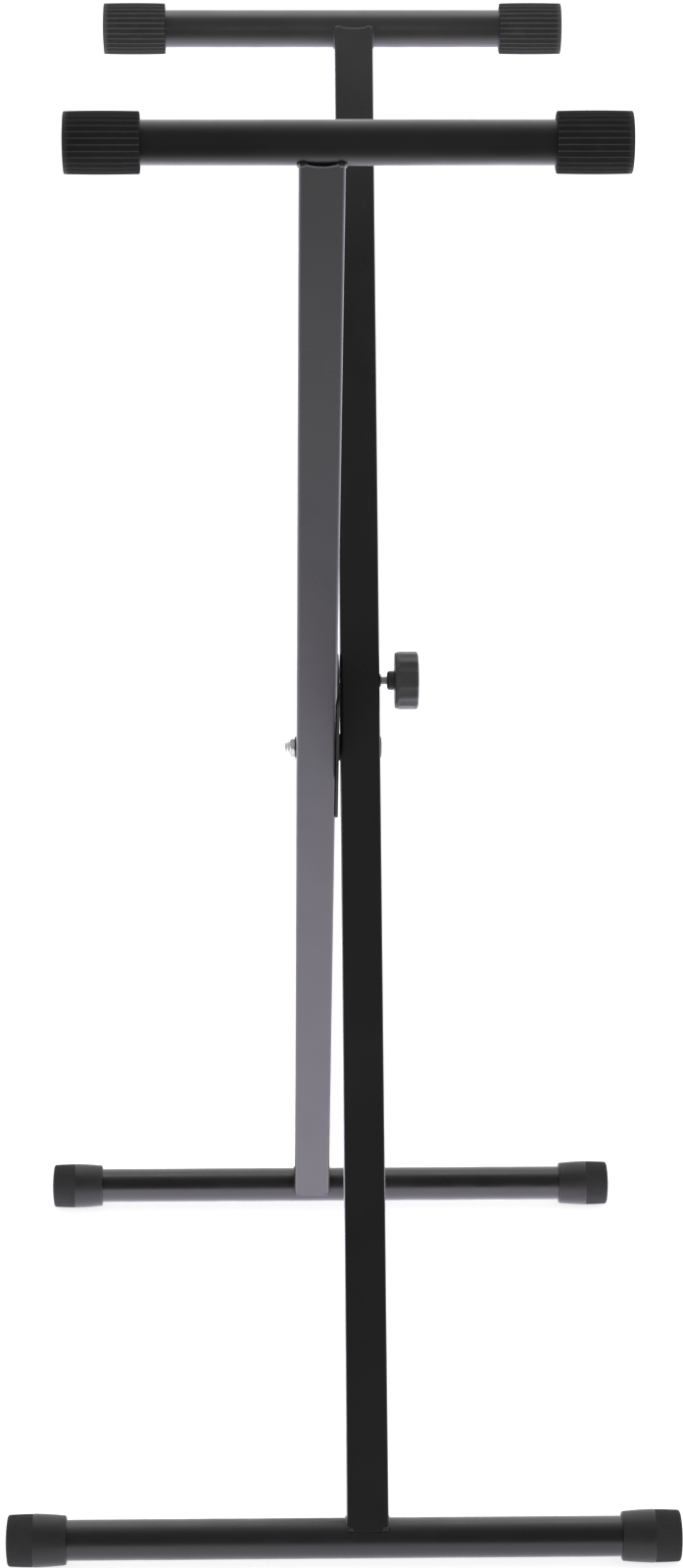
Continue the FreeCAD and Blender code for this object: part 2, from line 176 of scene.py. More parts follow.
def rubber(name, dark, light, rough, grain, painted_sheen_and_tone=None, matt=0.0):
    m, nt, bsdf = new_material(name)
    v = coords(nt)
    cloud = noise_tex(nt, v, 46.0, 5.0, 0.62)
    fine = noise_tex(nt, v, 1400.0, 3.0, 0.6)
    base = ramp(nt, cloud, ((0.32, dark), (0.70, light)))
    bloom = ramp(nt, noise_tex(nt, v, 210.0, 4.0, 0.6), ((0.56, (0.0, 0.0, 0.0)), (0.78, (0.006, 0.0058, 0.006))))
    tone = mix(nt, 1.0, base, bloom, "ADD")
    # The ridge attribute mixes the tone towards a lighter colour. On the grips this is a painted sheen on the ridge
    # crests, outer rim and end face, which leaves the hollows darker as painted shade. On the foot caps it is the outer
    # barrel's own lighter, matter tone.
    mark = nt.nodes.new("ShaderNodeAttribute")
    mark.attribute_name = "ridge"
    if painted_sheen_and_tone:
        sheen_and_tone_mix = math_node(nt, "MULTIPLY", mark.outputs["Fac"], remap(nt, cloud, 0.55, 1.0, 0.3, 0.7))
        tone = mix(nt, sheen_and_tone_mix, tone, painted_sheen_and_tone)
    nt.links.new(tone, bsdf.inputs["Base Color"])
    dull = remap(nt, cloud, rough - 0.07, rough + 0.08, 0.3, 0.7)
    if matt:
        dull = math_node(nt, "ADD", dull, math_node(nt, "MULTIPLY", mark.outputs["Fac"], matt))
    nt.links.new(dull, bsdf.inputs["Roughness"])
    bsdf.inputs["Specular IOR Level"].default_value = 0.42
    bump(nt, bsdf, ((fine, grain, 0.00015),))
    return m


def plated(name, tone, rough, metallic=1.0):
    m, nt, bsdf = new_material(name)
    v = coords(nt)
    cloud = noise_tex(nt, v, 320.0, 4.0, 0.6)
    scratch = noise_tex(nt, v, 2600.0, 2.0, 0.7)
    d = tuple(c * 0.72 for c in tone)
    nt.links.new(ramp(nt, cloud, ((0.32, d), (0.66, tone))), bsdf.inputs["Base Color"])
    nt.links.new(remap(nt, scratch, rough - 0.07, rough + 0.12, 0.3, 0.7), bsdf.inputs["Roughness"])
    bsdf.inputs["Metallic"].default_value = metallic
    bump(nt, bsdf, ((scratch, 0.12, 0.00006),))
    return m


def moulded(name, dark, light, rough):
    m, nt, bsdf = new_material(name)
    v = coords(nt)
    cloud = noise_tex(nt, v, 80.0, 4.0, 0.6)
    vor = nt.nodes.new("ShaderNodeTexVoronoi")
    vor.inputs["Scale"].default_value = 2200.0
    nt.links.new(v, vor.inputs["Vector"])
    nt.links.new(ramp(nt, cloud, ((0.30, dark), (0.72, light))), bsdf.inputs["Base Color"])
    nt.links.new(remap(nt, cloud, rough - 0.05, rough + 0.07, 0.3, 0.7), bsdf.inputs["Roughness"])
    bsdf.inputs["Specular IOR Level"].default_value = 0.43
    bump(nt, bsdf, ((vor.outputs["Distance"], 0.22, 0.00012),))
    return m


COAT = powder_coat("satin_black_coat", (0.0082, 0.0081, 0.0084), (0.0112, 0.0110, 0.0114), 0.30)
WELD = powder_coat("coated_weld_bead", (0.0080, 0.0079, 0.0082), (0.0125, 0.0123, 0.0127), 0.36)
# GRIP's pale colour is a painted sheen for the ridge crests, outer rim and end face. CAP's pale colour is the outer
# barrel's own lighter tone.
GRIP = rubber("grip_rubber_black", (0.0067, 0.0066, 0.0067), (0.0096, 0.0094, 0.0095), 0.88, 0.24, (0.0370, 0.0364, 0.0367), -0.28)
CAP = rubber("cap_rubber_black", (0.0132, 0.0129, 0.0132), (0.0182, 0.0178, 0.0181), 0.50, 0.18, (0.0192, 0.0188, 0.0191), 0.30)
ZINC = plated("bright_zinc", (0.86, 0.855, 0.835), 0.34, 0.50)
THREAD = plated("thread_zinc", (0.60, 0.60, 0.59), 0.40, 0.50)


def bolt_metal(name, bright, dark, rough):
    """Plated shank and end, blackened head; the change lies inside the legs."""
    m, nt, bsdf = new_material(name)
    v = coords(nt)
    cloud = noise_tex(nt, v, 320.0, 4.0, 0.6)
    scratch = noise_tex(nt, v, 2600.0, 2.0, 0.7)
    pale = ramp(nt, cloud, ((0.32, tuple(c * 0.74 for c in bright)), (0.66, bright)))
    black = ramp(nt, cloud, ((0.32, tuple(c * 0.74 for c in dark)), (0.66, dark)))
    sep = nt.nodes.new("ShaderNodeSeparateXYZ")
    nt.links.new(v, sep.inputs[0])
    nt.links.new(mix(nt, remap(nt, sep.outputs[1], 0.0, 1.0, 0.012, 0.020), pale, black), bsdf.inputs["Base Color"])
    nt.links.new(remap(nt, scratch, rough - 0.07, rough + 0.12, 0.3, 0.7), bsdf.inputs["Roughness"])
    bsdf.inputs["Metallic"].default_value = 0.5
    bump(nt, bsdf, ((scratch, 0.12, 0.00006),))
    return m


BOLT = bolt_metal("pivot_bolt_steel", (0.80, 0.795, 0.775), (0.030, 0.030, 0.031), 0.36)
PLATE = powder_coat("dull_plate_coat", (0.0082, 0.0081, 0.0084), (0.0112, 0.0110, 0.0114), 0.60, 0.30)
OXIDE = powder_coat("black_oxide", (0.016, 0.016, 0.017), (0.024, 0.024, 0.026), 0.36)
NYLON = moulded("black_nylon", (0.020, 0.020, 0.020), (0.030, 0.030, 0.030), 0.48)
KNOB = moulded("knob_plastic_black", (0.0320, 0.0318, 0.0324), (0.0430, 0.0426, 0.0434), 0.47)

SLOT_MATERIAL = {
    "black_coat": COAT, "coated_weld": WELD, "grip_rubber": GRIP, "cap_rubber": CAP, "zinc_steel": ZINC,
    "screw_steel": THREAD, "blackened_steel": BOLT, "nylon": NYLON, "knob_plastic": KNOB,
}
SLOT_OF = {s["node"]: s["material_slot"] for s in frame["record"]["subparts"]}
BODY_OF = {n: b for b, ns in frame["record"]["behaviour"]["bodies"].items() for n in ns}
for node_name, obj in NODES.items():
    obj.data.materials.clear()
    obj.data.materials.append(PLATE if node_name == "lock_plate" else SLOT_MATERIAL[SLOT_OF[node_name]])


# ---------------------------------------------------------------------------
# mesh helpers
# ---------------------------------------------------------------------------
def finish_mesh(name, bm, place, node, sharp=38.0, material=None):
    bmesh.ops.remove_doubles(bm, verts=bm.verts, dist=1e-7)
    bmesh.ops.recalc_face_normals(bm, faces=bm.faces)
    me = bpy.data.meshes.new(name)
    bm.to_mesh(me)
    bm.free()
    me.transform(place)
    me.shade_smooth()
    me.set_sharp_from_angle(angle=math.radians(sharp))
    o = bpy.data.objects.new(name, me)
    bpy.context.scene.collection.objects.link(o)
    me.materials.append(material or SLOT_MATERIAL[SLOT_OF[node]])
    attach(o, BODY_OF[node])
    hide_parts(node)
    return o


def turned(profile, segs, closed=False, shape=None):
    """Surface turned about Y from (radius, y) points; shape(theta, r, y) may alter the radius."""
    bm = bmesh.new()
    rings = []
    for r, y in profile:
        if r < 1e-9:
            rings.append([bm.verts.new((0, y, 0))])
            continue
        ring = []
        for k in range(segs):
            t = 2 * math.pi * k / segs
            rr = shape(t, r, y) if shape else r
            ring.append(bm.verts.new((rr * math.cos(t), y, rr * math.sin(t))))
        rings.append(ring)
    pairs = list(zip(rings[:-1], rings[1:]))
    if closed:
        pairs.append((rings[-1], rings[0]))
    for a, b in pairs:
        for k in range(segs):
            n = (k + 1) % segs
            if len(a) == 1 and len(b) == 1:
                continue
            if len(a) == 1:
                bm.faces.new((a[0], b[k], b[n]))
            elif len(b) == 1:
                bm.faces.new((a[k], b[0], a[n]))
            else:
                bm.faces.new((a[k], b[k], b[n], a[n]))
    return bm


def arc(cx, cy, r, a0, a1, n):
    return [(cx + r * math.cos(math.radians(a0 + (a1 - a0) * i / n)),
             cy + r * math.sin(math.radians(a0 + (a1 - a0) * i / n))) for i in range(n + 1)]


def flip(profile, s):
    return [(r, s * y) for r, y in profile]


# ---------------------------------------------------------------------------
# square leg tubes with rounded corners, saddle-cut ends and drilled walls
# ---------------------------------------------------------------------------
def square_loop(h, r, y_mid, n_corner, n_side):
    pts = []
    for q in range(4):
        a0 = 90.0 * q
        cx = (h - r) * (1 if q in (0, 3) else -1)
        cy = (h - r) * (1 if q in (0, 1) else -1)
        corner = arc(cx, cy, r, a0, a0 + 90, n_corner)
        pts += corner
        nq = (q + 1) % 4
        nx = (h - r) * (1 if nq in (0, 3) else -1)
        ny = (h - r) * (1 if nq in (0, 1) else -1)
        start = corner[-1]
        end = arc(nx, ny, r, 90.0 * nq, 90.0 * nq + 90, n_corner)[0]
        for i in range(1, n_side):
            f = i / n_side
            pts.append((start[0] + (end[0] - start[0]) * f, start[1] + (end[1] - start[1]) * f))
    return [(x, y + y_mid) for x, y in pts]


def leg_end(x, off, dip, lip):
    """Where the wall stops below the round tube: saddle arcs at the sides, a dipped lip at front and back."""
    if dip > 0:
        rad = (0.0110 ** 2 + dip ** 2) / (2 * dip)
        lip += max(0.0, dip - (rad - math.sqrt(max(rad * rad - off * off, 0.0)))) if abs(off) < rad else 0.0
    return HALF - max(lip, math.sqrt(max(PIPE * PIPE - x * x, 0.0)) + 0.00004)


def leg_mesh(name, node, sign, side, drills, ends):
    """ends: for the low and the high end (dip, lip, edge length, edge set-in; a negative set-in flares out)"""
    y_mid = side * (GAP + LEG)
    outer = square_loop(LEG, 0.0022, y_mid, 8, 28)
    inner = square_loop(LEG - 0.0012, 0.0012, y_mid, 8, 28)
    stations = [0.97, 0.9, 0.6, 0.3, 0.12]
    bm = bmesh.new()
    loops = []
    for loop in (outer, inner):
        rows = []
        marks = []
        for dip, lip, along, into in ends:
            reach = [leg_end(x, y - y_mid, dip, lip) for x, y in loop]
            if loop is outer:
                tip = square_loop(LEG - into, 0.0022 - into, y_mid, 8, 28)
                half = square_loop(LEG - into * 0.40, 0.0022 - into * 0.40, y_mid, 8, 28)
            else:
                tip = half = inner
            marks.append((reach, [(0.0, tip), (along * 0.45, half), (along, loop), (along + 0.0004, loop)]))
        for dz, pts in marks[0][1]:
            rows.append([bm.verts.new((x, y, dz - e)) for (x, y), e in zip(pts, marks[0][0])])
        for f in [-q for q in stations] + [0] + stations[::-1]:
            reach = marks[0][0] if f < 0 else marks[1][0]
            rows.append([bm.verts.new((x, y, f * e)) for (x, y), e in zip(loop, reach)])
        for dz, pts in reversed(marks[1][1]):
            rows.append([bm.verts.new((x, y, e - dz)) for (x, y), e in zip(pts, marks[1][0])])
        loops.append(rows)
    n = len(outer)
    for rows in loops:
        for a, b in zip(rows[:-1], rows[1:]):
            for k in range(n):
                j = (k + 1) % n
                bm.faces.new((a[k], a[j], b[j], b[k]))
    for row in (0, -1):
        a, b = loops[0][row], loops[1][row]
        for k in range(n):
            j = (k + 1) % n
            bm.faces.new((a[k], a[j], b[j], b[k]))
    bmesh.ops.recalc_face_normals(bm, faces=bm.faces)
    me = bpy.data.meshes.new(name + "_blank")
    bm.to_mesh(me)
    bm.free()
    o = bpy.data.objects.new(name + "_blank", me)
    bpy.context.scene.collection.objects.link(o)
    cutters = []
    for i, (r, y0, y1, x, z) in enumerate(drills):
        cb = turned([(0, y0), (r, y0), (r, y1), (0, y1)], 48)
        bmesh.ops.rotate(cb, verts=cb.verts, cent=(0, 0, 0), matrix=Matrix.Rotation(0.0317 + 0.011 * i, 3, "Y"))
        bmesh.ops.translate(cb, verts=cb.verts, vec=(x, 0, z))
        bmesh.ops.recalc_face_normals(cb, faces=cb.faces)
        cm = bpy.data.meshes.new("drill")
        cb.to_mesh(cm)
        cb.free()
        c = bpy.data.objects.new("drill%d_%s" % (i, name), cm)
        bpy.context.scene.collection.objects.link(c)
        mod = o.modifiers.new("drill%d" % i, "BOOLEAN")
        mod.object = c
        mod.operation = "DIFFERENCE"
        mod.solver = "EXACT"
        cutters.append(c)
    bpy.context.view_layer.update()
    dg = bpy.context.evaluated_depsgraph_get()
    done = bpy.data.meshes.new_from_object(o.evaluated_get(dg))
    bm = bmesh.new()
    bm.from_mesh(done)
    for c in cutters + [o]:
        data = c.data
        bpy.data.objects.remove(c)
        bpy.data.meshes.remove(data)
    bpy.data.meshes.remove(done)
    bmesh.ops.triangulate(bm, faces=[q for q in bm.faces if len(q.verts) > 4])
    return finish_mesh(name, bm, leg_frame(sign), node, 30.0)


FOLD = math.radians(4.8)
leg_mesh("leg_a", "leg_a_tube", 1, -1, [
    (0.0042, -FACE - 0.005, 0.005, 0.0, 0.0),
    (0.0035, -GAP - 0.006, 0.005, -RING * math.sin(FOLD), RING * math.cos(FOLD))], ((0.0, 0.0036, 0.0010, 0.0005), (0.0022, 0.0044, 0.0016, -0.0004)))
leg_mesh("leg_b", "leg_b_tube", -1, 1, [
    (0.0060, -0.005, FACE + 0.005, 0.0, 0.0),
    (0.0034, -0.005, GAP + 0.008, 0.0, RING),
    (0.0045, FACE - 0.008, FACE + 0.005, 0.0, RING)], ((0.0, 0.0038, 0.0001, 0.00008), (0.0014, 0.0044, 0.0009, 0.0005)))


# ---------------------------------------------------------------------------
# round arms and foot bars
# ---------------------------------------------------------------------------
def pipe(name, node, sign, along, length):
    y = length / 2
    outer = [(PIPE - 0.0003, -y), (PIPE, -y + 0.0003)]
    outer += [(PIPE, -y + length * f) for f in (0.1, 0.25, 0.4, 0.5, 0.6, 0.75, 0.9)]
    outer += [(PIPE, y - 0.0003), (PIPE - 0.0003, y), (PIPE - 0.0012, y), (PIPE - 0.0012, -y)]
    bm = turned(outer, 144, closed=True)
    return finish_mesh(name, bm, at(sign, along), node, 40.0)


pipe("arm_a", "leg_a_upper_arm", 1, HALF, 0.343)
pipe("arm_b", "leg_b_upper_arm", -1, HALF, 0.343)
pipe("foot_a", "leg_a_foot_bar", 1, -HALF, 0.460)
pipe("foot_b", "leg_b_foot_bar", -1, -HALF, 0.460)

# ---------------------------------------------------------------------------
# fluted arm grips: shallow hollows between narrow ridges, plain rounded rim at the outer end
# ---------------------------------------------------------------------------
FLUTES = 30


def ridge(t):
    """1 on a ridge, 0 in the hollows between"""
    k = max(0.0, (abs(2 * ((t * FLUTES / (2 * math.pi)) % 1.0) - 1) - 0.66) / 0.34)
    return k * k * (3 - 2 * k)


def grip(name, node, sign, s):
    e, inner = 0.1745, 0.1745 - 0.0475
    rb, re = 0.0193, 0.0190
    n = 26
    prof = [(0.0, e), (0.006, e - 0.0001), (0.0115, e - 0.0004), (0.0155, e - 0.0007), (0.0181, e - 0.0009)]
    prof += [(0.0181 + (re - 0.0181) * math.sin(math.radians(a)), e - 0.0009 - 0.0006 * (1 - math.cos(math.radians(a))))
             for a in (15, 30, 45, 60, 75, 90)]
    y0, y1 = e - 0.0017, inner + 0.0007
    for i in range(n + 1):
        f = i / n
        bulge = 1 - (2 * f - 1) ** 2
        prof.append((re + (rb - re) * bulge, y0 + (y1 - y0) * f))
    prof += [(re - 0.0002, inner + 0.0003), (re - 0.0007, inner), (0.0170, inner), (0.0155, inner + 0.0004),
             (0.01445, inner + 0.0003), (0.01402, inner + 0.0008), (0.01402, e - 0.003), (0.0, e - 0.003)]
    depth = 0.00060

    def shape(t, r, y):
        if r < 0.0158:
            return r
        fade = min(1.0, max(0.0, (e - 0.0019 - y) / 0.0022))
        fade = fade * fade * (3 - 2 * fade)
        mouth = 1.0 if y > inner + 0.001 else 0.9
        return r - depth * (1 - ridge(t)) * fade * mouth

    bm = turned(prof, FLUTES * 20, closed=False, shape=shape)
    # Marks where the grip colour is painted lighter: a painted sheen on the ridge crests, 0.6 on the outer rim band and
    # 0.75 on the end face, so the hollows read as painted shade.
    sheen_and_tone_layer = bm.verts.layers.float.new("ridge")
    for q in bm.verts:
        rim = 0.6 * min(1.0, max(0.0, (q.co.y - e + 0.0044) / 0.0016))
        if math.hypot(q.co.x, q.co.z) > 0.0175 and q.co.y < e - 0.0018:
            q[sheen_and_tone_layer] = max(rim, ridge(math.atan2(q.co.z, q.co.x)))
        elif q.co.y > e - 0.0025:
            q[sheen_and_tone_layer] = 0.75
    if s < 0:
        bmesh.ops.scale(bm, verts=bm.verts, vec=(1, -1, 1))
    return finish_mesh(name, bm, at(sign, HALF), node, 50.0)


# ---------------------------------------------------------------------------
# foot caps: smooth tapered sleeve inside, finely ribbed barrel outside
# ---------------------------------------------------------------------------
RIBS = 64


def foot_cap(name, node, sign, s):
    e, inner = 0.2340, 0.2340 - 0.042
    split = e - 0.0195
    rm, ri = 0.0183, 0.0170
    prof = [(0.0, e), (0.004, e - 0.0001), (0.008, e - 0.0004), (0.0120, e - 0.0008), (0.0150, e - 0.0013)]
    prof += [(0.0150 + 0.0026 * math.sin(math.radians(a)), e - 0.0013 - 0.0018 * (1 - math.cos(math.radians(a))))
             for a in (12, 24, 36, 48, 60, 72, 82, 90)]
    for i in range(1, 13):
        f = i / 12
        prof.append((0.0176 + 0.0005 * math.sin(f * math.pi / 2), e - 0.0031 + (split + 0.0006 - e + 0.0031) * f))
    prof += [(0.01795, split + 0.0003), (0.01795, split + 0.0001), (rm, split - 0.0003)]
    for i in range(1, 13):
        f = i / 12
        prof.append((rm + (ri - rm) * (0.35 * f + 0.65 * f * f), split - 0.0003 + (inner + 0.0012 - split + 0.0003) * f))
    prof += [(ri - 0.00025, inner + 0.0005), (ri - 0.0007, inner + 0.0001), (ri - 0.0012, inner), (0.0150, inner + 0.0002),
             (0.01445, inner + 0.0008), (0.01402, inner + 0.0014), (0.01402, e - 0.004), (0.0, e - 0.004)]

    def shape(t, r, y):
        if y <= split + 0.0002 or r < 0.0162:
            return r
        fade = min(1.0, max(0.0, (e - 0.0022 - y) / 0.0022)) * min(1.0, max(0.0, (y - split - 0.0002) / 0.0006))
        u = 0.5 + 0.5 * math.cos(t * RIBS)
        return r - 0.00026 * fade * (1 - u ** 0.7)

    bm = turned(prof, RIBS * 8, closed=False, shape=shape)
    sheen_and_tone_layer = bm.verts.layers.float.new("ridge")
    for q in bm.verts:
        q[sheen_and_tone_layer] = min(1.0, max(0.0, (q.co.y - split - 0.0001) / 0.0003))
    if s < 0:
        bmesh.ops.scale(bm, verts=bm.verts, vec=(1, -1, 1))
    return finish_mesh(name, bm, at(sign, -HALF), node, 42.0)


for leg, sign in (("a", 1), ("b", -1)):
    for hand, s in (("left", -1), ("right", 1)):
        grip("grip_%s_%s" % (leg, hand), "leg_%s_grip_%s" % (leg, hand), sign, s)
        foot_cap("foot_cap_%s_%s" % (leg, hand), "leg_%s_foot_cap_%s" % (leg, hand), sign, s)


# ---------------------------------------------------------------------------
# weld beads: a rippled run down each side wall of the saddle, with a lump at each corner
# ---------------------------------------------------------------------------
def bead(bm, path, radius, seed, ripple=0.0021):
    rnd = random.Random(seed)
    length = 0.0
    rings = []
    m = 14
    for i, p in enumerate(path):
        prev, nxt = path[max(i - 1, 0)], path[min(i + 1, len(path) - 1)]
        t = (nxt - prev).normalized()
        if i:
            length += (p - path[i - 1]).length
        side = t.cross(Vector((0, 1, 0)))
        if side.length < 1e-3:
            side = t.cross(Vector((1, 0, 0)))
        side.normalize()
        up = side.cross(t).normalized()
        end = min(i, len(path) - 1 - i) / 4.0
        taper = math.sqrt(min(1.0, end)) if end < 1 else 1.0
        here = radius[i] if isinstance(radius, list) else radius
        scale = here * taper * (1 + 0.10 * math.sin(2 * math.pi * length / ripple) + 0.10 * (rnd.random() - 0.5))
        ring = []
        for k in range(m):
            a = 2 * math.pi * k / m
            wob = 1 + 0.10 * noise.noise(Vector((p.x * 900 + seed, p.y * 900, a * 1.7)))
            ring.append(bm.verts.new(p + (side * math.cos(a) + up * math.sin(a)) * max(scale * wob, 1e-5)))
        rings.append(ring)
    for a, b in zip(rings[:-1], rings[1:]):
        for k in range(m):
            j = (k + 1) % m
            bm.faces.new((a[k], b[k], b[j], a[j]))
    for ring in (rings[0], rings[-1]):
        bm.faces.new(ring)


def saddle_weld(name, node, sign, side, end, seed, lump):
    bm = bmesh.new()
    for i, y in enumerate((side * GAP, side * FACE)):
        out = -side if i == 0 else side
        path, radius = [], []
        # a lump over the front corner, a run along the side wall's arc, a lump over the back corner
        for k in range(13):
            f = k / 12
            path.append(Vector((0.01360 - 0.0004 * f, y - out * (0.0002 + 0.0056 * (1 - f)), -end * (0.0049 + 0.0010 * f))))
            radius.append(0.0008 + lump * math.sin(math.pi * min(1.0, 0.10 + 0.72 * f)))
        for k in range(1, 44):
            a = math.radians(24 + (180 - 48) * k / 44)
            path.append(Vector((0.01425 * math.cos(a), y - out * 0.0002, -end * 0.01425 * math.sin(a))))
            radius.append(0.00112)
        for k in range(13):
            f = 1 - k / 12
            path.append(Vector((-(0.01360 - 0.0004 * f), y - out * (0.0002 + 0.0056 * (1 - f)), -end * (0.0049 + 0.0010 * f))))
            radius.append(0.0008 + lump * math.sin(math.pi * min(1.0, 0.10 + 0.72 * f)))
        bead(bm, path, radius, seed * 7 + i)
    return finish_mesh(name, bm, at(sign, HALF * end), node, 70.0)


saddle_weld("weld_a_top", "leg_a_upper_weld", 1, -1, 1, 3, 0.0014)
saddle_weld("weld_a_foot", "leg_a_foot_weld", 1, -1, -1, 11, 0.0005)
saddle_weld("weld_b_top", "leg_b_upper_weld", -1, 1, 1, 19, 0.0009)
saddle_weld("weld_b_foot", "leg_b_foot_weld", -1, 1, -1, 27, 0.0006)


def plate_weld():
    bm = bmesh.new()
    for i, (z0, z1) in enumerate(((-0.046, -0.016), (0.016, 0.046))):
        path = [Vector((-LEG - 0.0001, -GAP - 0.0011, z0 + (z1 - z0) * k / 40)) for k in range(41)]
        bead(bm, path, 0.00125, 41 + i)
    return finish_mesh("weld_plate", bm, leg_frame(1), "lock_plate_weld", 70.0)


plate_weld()

# ---------------------------------------------------------------------------
# pivot: low bolt head, threaded end, self-locking nut and washer
# ---------------------------------------------------------------------------
def thread_shape(r_major, pitch, depth, y_from, y_to):
    def shape(t, r, y):
        if abs(r - r_major) > 1e-6 or y < y_from or y > y_to:
            return r
        u = (y / pitch + t / (2 * math.pi)) % 1.0
        tri = abs(2 * u - 1)
        return r - depth * min(1.0, max(0.0, (tri - 0.10) / 0.72))
    return shape


tip, nut_in = -FACE - 0.0084, -FACE - 0.0010
head0, head1 = FACE + 0.0001, FACE + 0.0011
hr = 0.0082
prof = [(0.0, tip + 0.0001), (0.0024, tip), (0.0032, tip)] + [(0.0033 + 0.0007 * f, tip + 0.0009 * f) for f in (0.3, 0.6, 1.0)]
prof = [(min(r, 0.004), y) for r, y in prof]
n = 96
prof += [(0.004, tip + 0.0009 + 0.012 * i / n) for i in range(1, n + 1)]
prof += [(0.00399, tip + 0.0131), (0.00399, head0), (hr - 0.0002, head0), (hr, head0 + 0.0002), (hr, head0 + 0.0003)]
prof += [(hr - 0.0011 * math.sin(math.radians(a)), head0 + 0.0003 + 0.0007 * math.sin(math.radians(a)) ** 1.4) for a in (20, 40, 60, 80, 90)]
prof += [(0.0040, head1 - 0.00001), (0.0029, head1 - 0.00002), (0.0026, head1 - 0.0002), (0.0026, head0 - 0.0022), (0.0, head0 - 0.0030)]


def bolt_shape(t, r, y):
    if y > head0 - 0.0025 and r < 0.0030 and r > 0:
        k = ((t + math.pi / 6) % (math.pi / 3)) - math.pi / 6
        return r * 0.93 / math.cos(k)
    return thread_shape(0.004, 0.00125, 0.00055, tip + 0.0005, tip + 0.013)(t, r, y)


finish_mesh("bolt", turned(prof, 96, shape=bolt_shape), at(1, 0.0), "pivot_bolt", 40.0)

flats = 0.0065
prof = [(0.00402, nut_in), (0.0062, nut_in)]
nh = 0.0056
for i in range(0, 15):
    prof.append((0.0080, nut_in - 0.00005 - (nh - 0.0021) * i / 14))
prof += [(0.0062, nut_in - nh + 0.0019), (0.00615, nut_in - nh + 0.0015), (0.0060, nut_in - nh + 0.0010), (0.0058, nut_in - nh + 0.0006),
         (0.0054, nut_in - nh + 0.0002), (0.0049, nut_in - nh), (0.00415, nut_in - nh + 0.0002), (0.00402, nut_in - nh + 0.0006)]


def nut_shape(t, r, y):
    if r < 0.0063:
        return r
    k = ((t - math.radians(41) + math.pi / 3) % (math.pi / 3)) - math.pi / 6
    hexr = flats / math.cos(k)
    depth_in = min(nut_in - y, y - (nut_in - nh + 0.0020))
    cham = 0.0064 + max(0.0, depth_in) * 1.75
    return min(hexr, max(cham, 0.0062))


finish_mesh("nut", turned(prof, 192, closed=True, shape=nut_shape), at(1, 0.0), "pivot_nut", 22.0)
wr = 0.0080
prof = [(0.0042, nut_in), (wr - 0.0003, nut_in), (wr, nut_in + 0.0003), (wr, -FACE - 0.0002), (wr - 0.0002, -FACE), (0.0042, -FACE)]
finish_mesh("washer", turned(prof, 96, closed=True), at(1, 0.0), "pivot_washer", 40.0, material=OXIDE)

# ---------------------------------------------------------------------------
# lock screw, its insert and knob
# ---------------------------------------------------------------------------
hub0 = FACE + 0.0056
hub1 = hub0 + 0.0056
knob1 = hub1 + 0.0180
s_tip, s_end = 0.0008, hub1 + 0.0180 * 0.6
prof = [(0.0, s_tip), (0.0017, s_tip), (0.0024, s_tip + 0.0009), (0.0030, s_tip + 0.0017)]
n = 420
prof += [(0.0030, s_tip + 0.0018 + (hub0 + 0.001 - s_tip - 0.0018) * i / n) for i in range(n + 1)]
prof += [(0.00299, hub0 + 0.0012), (0.00299, s_end), (0.0, s_end)]
finish_mesh("screw", turned(prof, 40, shape=thread_shape(0.0030, 0.001, 0.00028, s_tip + 0.0017, hub0 + 0.001)),
            at(-1, RING), "lock_screw", 60.0)

fl = 0.0050
prof = [(0.00305, FACE - 0.014), (0.0045, FACE - 0.014), (0.0045, FACE), (fl - 0.0001, FACE), (fl, FACE + 0.0002),
        (fl, FACE + 0.0006)]
prof += [(fl - 0.0006 * math.sin(math.radians(a)), FACE + 0.0006 + 0.0006 * (1 - math.cos(math.radians(a)))) for a in (25, 50, 75, 90)]
prof += [(0.0034, FACE + 0.0012), (0.00305, FACE + 0.0009)]
finish_mesh("insert", turned(prof, 72, closed=True), at(-1, RING), "screw_insert", 40.0, material=OXIDE)

KR, BR = 0.0210, 0.00700
LOBES = 14
collar = hub1 + 0.0026
prof = [(0.00305, hub0 + 0.0003), (0.0034, hub0), (0.0047, hub0)]
prof += [(0.0047 + (BR - 0.0047) * math.sin(math.radians(a)) ** 1.1, hub0 + 0.0020 * (1 - math.cos(math.radians(a)))) for a in (15, 30, 45, 60, 75, 90)]
prof += [(BR, hub1 - 0.0008), (BR + 0.0002, hub1 - 0.0003), (BR + 0.0007, hub1), (0.0120, hub1), (KR - 0.0016, hub1)]
prof += [(KR - 0.0016 + 0.0011 * math.sin(math.radians(a)), hub1 + 0.0011 * (1 - math.cos(math.radians(a)))) for a in (22, 45, 67, 90)]
prof += [(KR - 0.0003, hub1 + 0.0018), (KR - 0.0002, collar - 0.0002), (KR - 0.0001, collar + 0.0003)]
for i in range(0, 9):
    prof.append((KR, collar + 0.0008 + (knob1 - 0.0028 - collar - 0.0008) * i / 8))
prof += [(KR - 0.0019 * (1 - math.cos(math.radians(a))), knob1 - 0.0028 + 0.0019 * math.sin(math.radians(a))) for a in (15, 30, 45, 60, 75, 90)]
prof += [(KR - 0.0042, knob1 - 0.0006), (KR - 0.0090, knob1 - 0.0003), (0.0060, knob1 - 0.0001), (0.0, knob1),
         (0.0, s_end + 0.0001), (0.00305, s_end + 0.0001)]
knob_profile = prof


def knob_shape(t, r, y):
    if r < 0.0175:
        return r
    w = abs(2 * ((t * LOBES / (2 * math.pi)) % 1.0) - 1)       # 1 on the land, 0 in the scallop
    hollow = max(0.0, 1 - (w / 0.78) ** 2)
    start = min(1.0, max(0.0, (y - collar) / 0.0008))
    return r - 0.00058 * hollow * start * min(1.0, (r - 0.0175) / 0.002)


tb = turned(knob_profile, LOBES * 20, closed=False, shape=knob_shape)
# close the socket wall between the last and first rings
tb.verts.ensure_lookup_table()
rim = [e for e in tb.edges if len(e.link_faces) == 1]
bmesh.ops.bridge_loops(tb, edges=rim)
finish_mesh("knob", tb, at(-1, RING), "lock_knob", 40.0)

